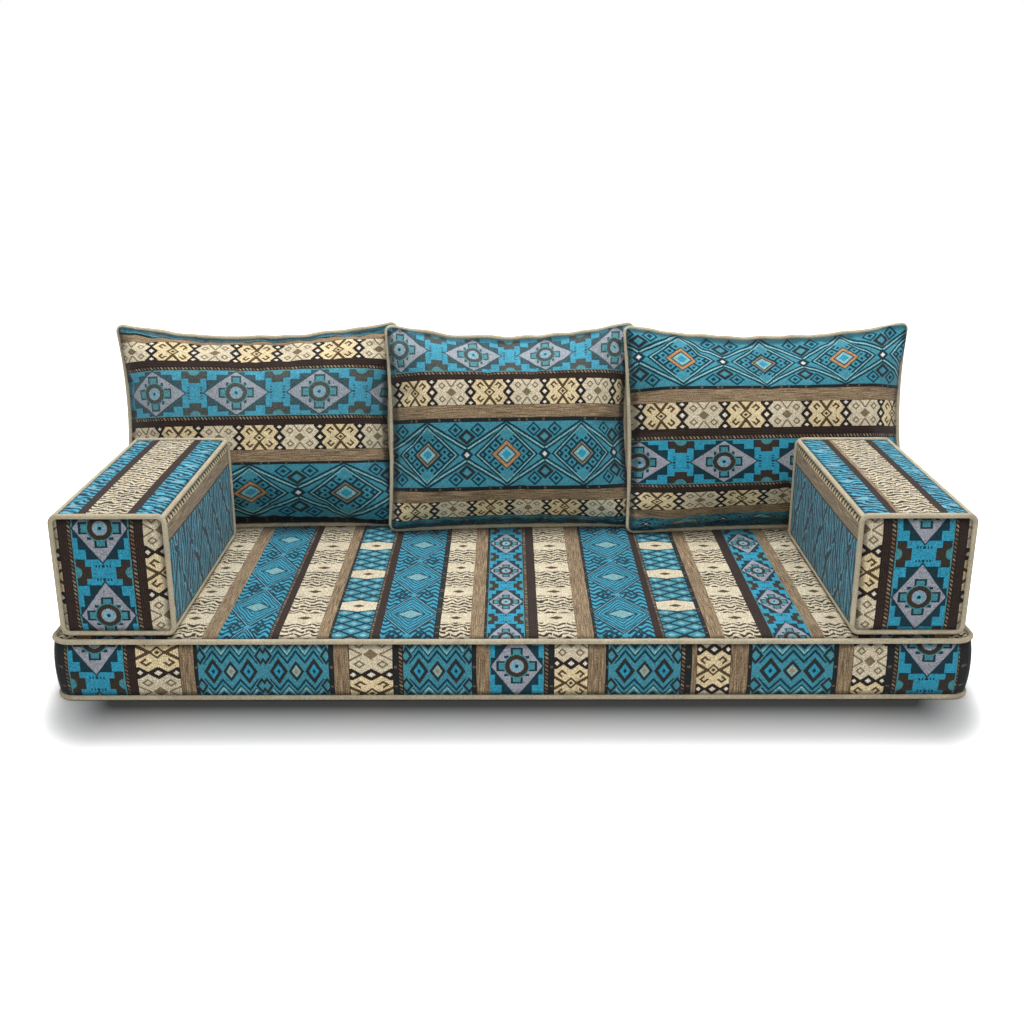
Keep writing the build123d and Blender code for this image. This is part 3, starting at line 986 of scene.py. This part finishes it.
# %% A pillow's seam and its crown
def pillow_seam(side, s, t):
    """A point of the flat pillow, s and t from -1 to 1, inside its drawn-in seam. Under the
    height in pillow_fixed, the bands are not drawn down with the upper seam."""
    half = pillow_widths[side] / 2, pillow_height / 2
    x, y = rounded(s * half[0], t * half[1], *half, pillow_ear)
    u, v = x / half[0], y / half[1]
    x -= u * pillow_draw_sides[side][u > 0] * (1 - v * v)
    held = (pillow_fixed[side] * mm - half[1]) / half[1]
    ripple = pillow_ripple * soft_noise((x, 7.0, len(side)), pillow_ripple_size) * (1 - u**4)
    top_drop = pillow_draw_top * (1 - u * u) + ripple
    if v > held:
        y -= top_drop * (v - held) / (1 - held)
    y += pillow_draw_bottom * (1 - u * u) * max(-v, 0) ** 3
    return x, y


def crowned(thick, depth):
    """The height of a quarter ellipse that rises to thick, depth in from the seam."""
    return thick * sqrt(1 - (1 - min(depth / pillow_reach, 1)) ** 2)


def pillow_place(side, s, t):
    """A point of the pillow's rough crown and its height over the seam's plane."""
    x, y = pillow_seam(side, s, t)
    half_x = pillow_widths[side] / 2 - pillow_draw_sides[side][s > 0] * (1 - t * t)
    top = pillow_height / 2 - pillow_draw_top * (1 - s * s)
    depth_x = max(half_x - abs(x), 0)
    depth_y = max(min(top - y, y + pillow_height / 2), 0)
    if max(abs(s), abs(t)) > 1 - hair:
        return x, y, 0
    depth = (depth_x**-3 + depth_y**-3) ** (-1 / 3) if min(depth_x, depth_y) > 0 else 0
    return x, y, crowned(rough_crown * pillow_half_thick, depth)


# %% Filling a cover with the cloth simulation
def stuffed(bm, held, pressure=4.0, cap=22 * mm, frames=20):
    """Blows a closed cover up with its held points fixed, and moves no point further than cap."""
    mesh = bpy.data.meshes.new("stuffing")
    bm.to_mesh(mesh)
    pad = linked("stuffing", mesh)
    pad.vertex_groups.new(name="held").add(held, 1.0, "REPLACE")
    cloth_layer = pad.modifiers.new("cloth", "CLOTH")
    settings = cloth_layer.settings
    settings.quality = 6
    settings.vertex_group_mass = "held"
    settings.use_pressure = True
    settings.uniform_pressure_force = pressure
    settings.effector_weights.gravity = 0
    settings.shrink_min = -0.03
    settings.tension_stiffness = settings.compression_stiffness = 25
    settings.bending_stiffness = 1.5
    cloth_layer.point_cache.frame_end = frames
    scene = bpy.context.scene
    for step in range(1, frames + 1):
        scene.frame_set(step)
    blown = pad.evaluated_get(bpy.context.evaluated_depsgraph_get()).to_mesh()
    bm.verts.ensure_lookup_table()
    for vert, full in zip(bm.verts, blown.vertices):
        move = full.co - vert.co
        if move.length > cap:
            move *= cap / move.length
        vert.co += move
    scene.frame_set(1)
    bpy.data.objects.remove(pad)
    bpy.data.meshes.remove(mesh)


# %% Where a pillow stands
def seam_ring(side, count):
    """Points round a flat pillow's seam, count to a side."""
    run = [-1 + 2 * step / count for step in range(count)]
    square = [(v, -1) for v in run] + [(1, v) for v in run]
    square += [(-v, 1) for v in run] + [(-1, -v) for v in run]
    return [Vector((*pillow_seam(side, s, t), 0)) for s, t in square]


def pillow_stand(side):
    """The turn of a pillow that stands up, leans back and has its left edge forward, and its
    middle, from the box of its CAD cord."""
    upright = Matrix(((1, 0, 0), (0, 0, -1), (0, 1, 0)))
    lean = Matrix.Rotation(radians(pillow_lean), 3, "X")
    turn = Matrix.Rotation(radians(pillow_turn), 3, "Z") @ lean @ upright
    ring = [turn @ point for point in seam_ring(side, 40)]
    box = zip(*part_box(f"pillow_{side}_piping"), zip(*ring))
    return turn, Vector([(low + high - min(run) - max(run)) / 2 for low, high, run in box])


# %% Puckers along the seam, and the cloth round the zip
pillow_pucker = (2.4 * mm, 17 * mm, 8 * mm, 24 * mm)
flat_past_zip, blend_past_zip, blend_over_zip = 45 * mm, 40 * mm, 45 * mm


def gather(bm, flat, half):
    """Puckers the cloth where it is sewn into the seam. flat holds the points' places in the flat
    cover, and the sheet that each is on."""
    for vert in bm.verts:
        x, y, sheet = flat[vert.index]
        for depth, run in ((half[0] - abs(x), y), (half[1] - abs(y), x)):
            place = (run, copysign(0.3, x), 0.5 * sheet)
            vert.co.z += pucker(depth, place, *pillow_pucker)


def settle_zip(bm, flat):
    """Brings the cloth round the zip to the zip's own place."""
    for vert in bm.verts:
        x, y, sheet = flat[vert.index]
        past_x = (abs(x) - zip_slot[0] - flat_past_zip) / blend_past_zip
        past_y = (abs(y - zip_slot[1]) - slot_half) / blend_over_zip
        away = max(past_x, past_y, 0)
        if sheet < 0 and away < 1:
            share = 1 - away**2 * (3 - 2 * away)
            back = crowned(pillow_half_thick, y + pillow_height / 2)
            vert.co = vert.co.lerp(Vector((x, y, -back)), share)


# %% The pillows' covers
def make_pillow(side):
    half = pillow_widths[side] / 2, pillow_height / 2
    bands = laid(half[1], pillow_bands[side])
    slot_x, slot_y = span(0, zip_slot[0]), span(zip_slot[1], slot_half * zip_slope)
    bm = cut_block(
        cuts(half[0], 10 * mm, firm=slot_x),
        cuts(half[1], 10 * mm, bands, firm=slot_y),
        [-1, 1],
    )
    edge = laid(half[0], [("dark", 1)])
    kinds = dress(bm, both_ways({0: (1, 0, bands), 1: (0, 1, edge), 2: (1, 0, bands)}))
    mark_slot(bm, slot_x, slot_y, (-2, -0.5))
    flat_layer = bm.verts.layers.float_vector.new("flat")
    for vert in bm.verts:
        vert[flat_layer] = vert.co
        s, t, sheet = vert.co
        x, y, crown = pillow_place(side, s / half[0], t / half[1])
        vert.co = x, y, crown * sheet
    bmesh.ops.remove_doubles(bm, verts=bm.verts, dist=hair)
    bm.verts.index_update()
    held = [vert.index for vert in bm.verts if abs(vert.co.z) < hair]
    stuffed(bm, held)
    flat = [vert[flat_layer].copy() for vert in bm.verts]
    gather(bm, flat, half)
    settle_zip(bm, flat)
    bm.verts.layers.float_vector.remove(flat_layer)
    turn, middle = pillow_stand(side)
    for vert in bm.verts:
        vert.co = turn @ vert.co + middle
    nodes = [f"pillow_{side}_{part}" for part in ("front_panel", "back_panel", "fill")]
    finish_cover(bm, f"pillow_{side}_cover", kinds, f"pillow_{side}", nodes, smooth=1)


for side in pillow_widths:
    make_pillow(side)

# %% [markdown]
# ## Piping
# The piping is a cord in a bias strip of beige cotton, sewn into every seam. A circle could be
# spun and extruded round each corner, but a curve with a round bevel follows any run of points. It
# is turned into a mesh whose map runs once round the cord and in metres along it, so the fine
# cross weave follows the seam.

# %% Cord cloth
cord_radius = 5.5 * mm
cord_weave = 2.6 * mm


def cord_cloth():
    material, loom, finish = new_material("piping_cloth")
    place, solid = loom.uv("UVMap"), loom.place()
    along, around = place.out("X"), place.out("Y") * (2 * pi * cord_radius)
    weave = (along + around).wave(cord_weave) * (along - around).wave(cord_weave)
    fleck, stain = loom.lumps(solid, 300, 3), loom.lumps(solid, 22, 3)
    tone = loom.dye(dyed(220, 208, 180)).over(dyed(160, 143, 114), (fleck - 0.35) * 1.6)
    shade = tone.lit(0.93 + weave * 0.2 + (stain - 0.5) * 0.5)
    dull = {"Specular IOR Level": 0.15}
    surface(loom, finish, shade, 0.9, weave, strength=0.5, depth=0.5 * mm, more=dull)
    return material


cord_material = cord_cloth()


def piping(name, runs, body, nodes, closed=True):
    """A cord along each run of points."""
    curve = bpy.data.curves.new(name, "CURVE")
    curve.dimensions = "3D"
    curve.bevel_depth = cord_radius
    curve.bevel_resolution = 4
    curve.use_fill_caps = not closed
    for points in runs:
        spline = curve.splines.new("POLY")
        spline.points.add(len(points) - 1)
        for spot, point in zip(spline.points, points):
            spot.co = (*point, 1)
        spline.use_cyclic_u = closed
    shape = linked(name + "_path", curve)
    mesh = bpy.data.meshes.new_from_object(shape)
    bpy.data.objects.remove(shape)
    mesh.name = name
    ends = runs[0][1:] + (runs[0][:1] if closed else [])
    length = sum((b - a).length for a, b in zip(runs[0], ends))
    for item in mesh.uv_layers[0].data:
        item.uv.x *= length
    mesh.materials.clear()
    mesh.materials.append(cord_material)
    mesh.polygons.foreach_set("use_smooth", [True] * len(mesh.polygons))
    cord = linked(name, mesh)
    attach(cord, body)
    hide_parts(*nodes)
    print(name, round(length, 3), "m")


# %% The seat's and arms' cords
def plan_ring(half_x, half_y, corner, gap=12 * mm, quarter=12):
    """Points round a plan with round corners, close together in the corners."""
    points = []
    for index, (sx, sy) in enumerate(((1, -1), (1, 1), (-1, 1), (-1, -1))):
        centre = Vector((sx * (half_x - corner), sy * (half_y - corner)))
        for step in range(quarter + 1):
            angle = radians(-90 + 90 * index + 90 * step / quarter)
            points.append(centre + corner * Vector((cos(angle), sin(angle))))
    full = []
    for a, b in zip(points, points[1:] + points[:1]):
        count = max(1, round((b - a).length / gap))
        full += [a.lerp(b, step / count) for step in range(count)]
    return full


cord_lift, cord_lift_size = 0.5 * mm, 60 * mm
for part, level, lift in (("bottom", seams[0], 0), ("top", seams[1], cord_lift)):
    ring = [(*p, level) for p in plan_ring(*seat_half, seat_corner)]
    path = [Vector((*p[:2], level + lift * soft_noise(p, cord_lift_size))) for p in ring]
    piping(f"seat_{part}_cord", [path], "seat", [f"seat_{part}_piping"])

stations = [-arm_half[1] + step * 2 * arm_half[1] / 48 for step in range(49)]
inset = arm_corner * (1 - sqrt(0.5))
edge_x, edge_z = arm_half[0] - inset, arm_half[2] - inset
ring = plan_ring(arm_half[0], arm_half[2], arm_corner)
for side, sign in arm_sides.items():
    body, middle = f"arm_{side}", arm_centre(sign)
    for part, end in (("front", -1), ("back", 1)):
        path = [Vector((p.x, end * arm_half[1], p.y)) + middle for p in ring]
        piping(f"{body}_{part}_cord", [path], body, [f"{body}_{part}_piping"])
    corners = [(a * edge_x, b * edge_z) for a in (-1, 1) for b in (-1, 1)]
    runs = [[Vector((x, y, z)) + middle for y in stations] for x, z in corners]
    piping(f"{body}_edge_cords", runs, body, [f"{body}_edge_piping"], closed=False)

# %% The pillows' cords
for side in pillow_widths:
    turn, middle = pillow_stand(side)
    path = [turn @ point + middle for point in seam_ring(side, 120)]
    piping(f"pillow_{side}_cord", [path], f"pillow_{side}", [f"pillow_{side}_piping"])

# %% [markdown]
# ## Zips
# A zip is a woven tape with its coil, and a slider and a pull of cast metal with an old brass
# finish. They could be modelled again, but the CAD solids already have every form at its real
# size. So they keep those shapes, and only their finishes are made here.

# %% Metal and tape
coil_step = 2.4 * mm


def zip_metal():
    material, loom, finish = new_material("zip_metal")
    wear = loom.lumps(loom.place(), 240, 4)
    tone = loom.dye(dyed(150, 130, 92)).over(dyed(88, 74, 52), (wear - 0.4) * 2.5)
    metal = {"Metallic": 1.0}
    surface(loom, finish, tone, wear * 0.4 + 0.2, wear, strength=0.2, depth=0.2 * mm, more=metal)
    return material


def zip_tape():
    material, loom, finish = new_material("zip_tape")
    solid = loom.place()
    weave, spot = loom.lumps(solid, 900, 2), solid.split()
    coil = (spot.out("X") + spot.out("Y")).wave(coil_step)
    tone = loom.dye(dyed(126, 112, 90)).over(
        dyed(74, 62, 48), (weave - 0.3) * 1.4,
        dyed(44, 38, 32), coil < -0.3,
    )
    surface(loom, finish, tone, 0.85, weave * 0.4 + coil, strength=0.6, depth=0.4 * mm)
    return material


metal, tape = zip_metal(), zip_tape()
zips = {name: node for name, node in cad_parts.items() if "_zip" in name}
for name, node in zips.items():
    node.data.materials.clear()
    node.data.materials.append(tape if name.endswith("_zip") else metal)
print(len(zips), "pieces of zips")
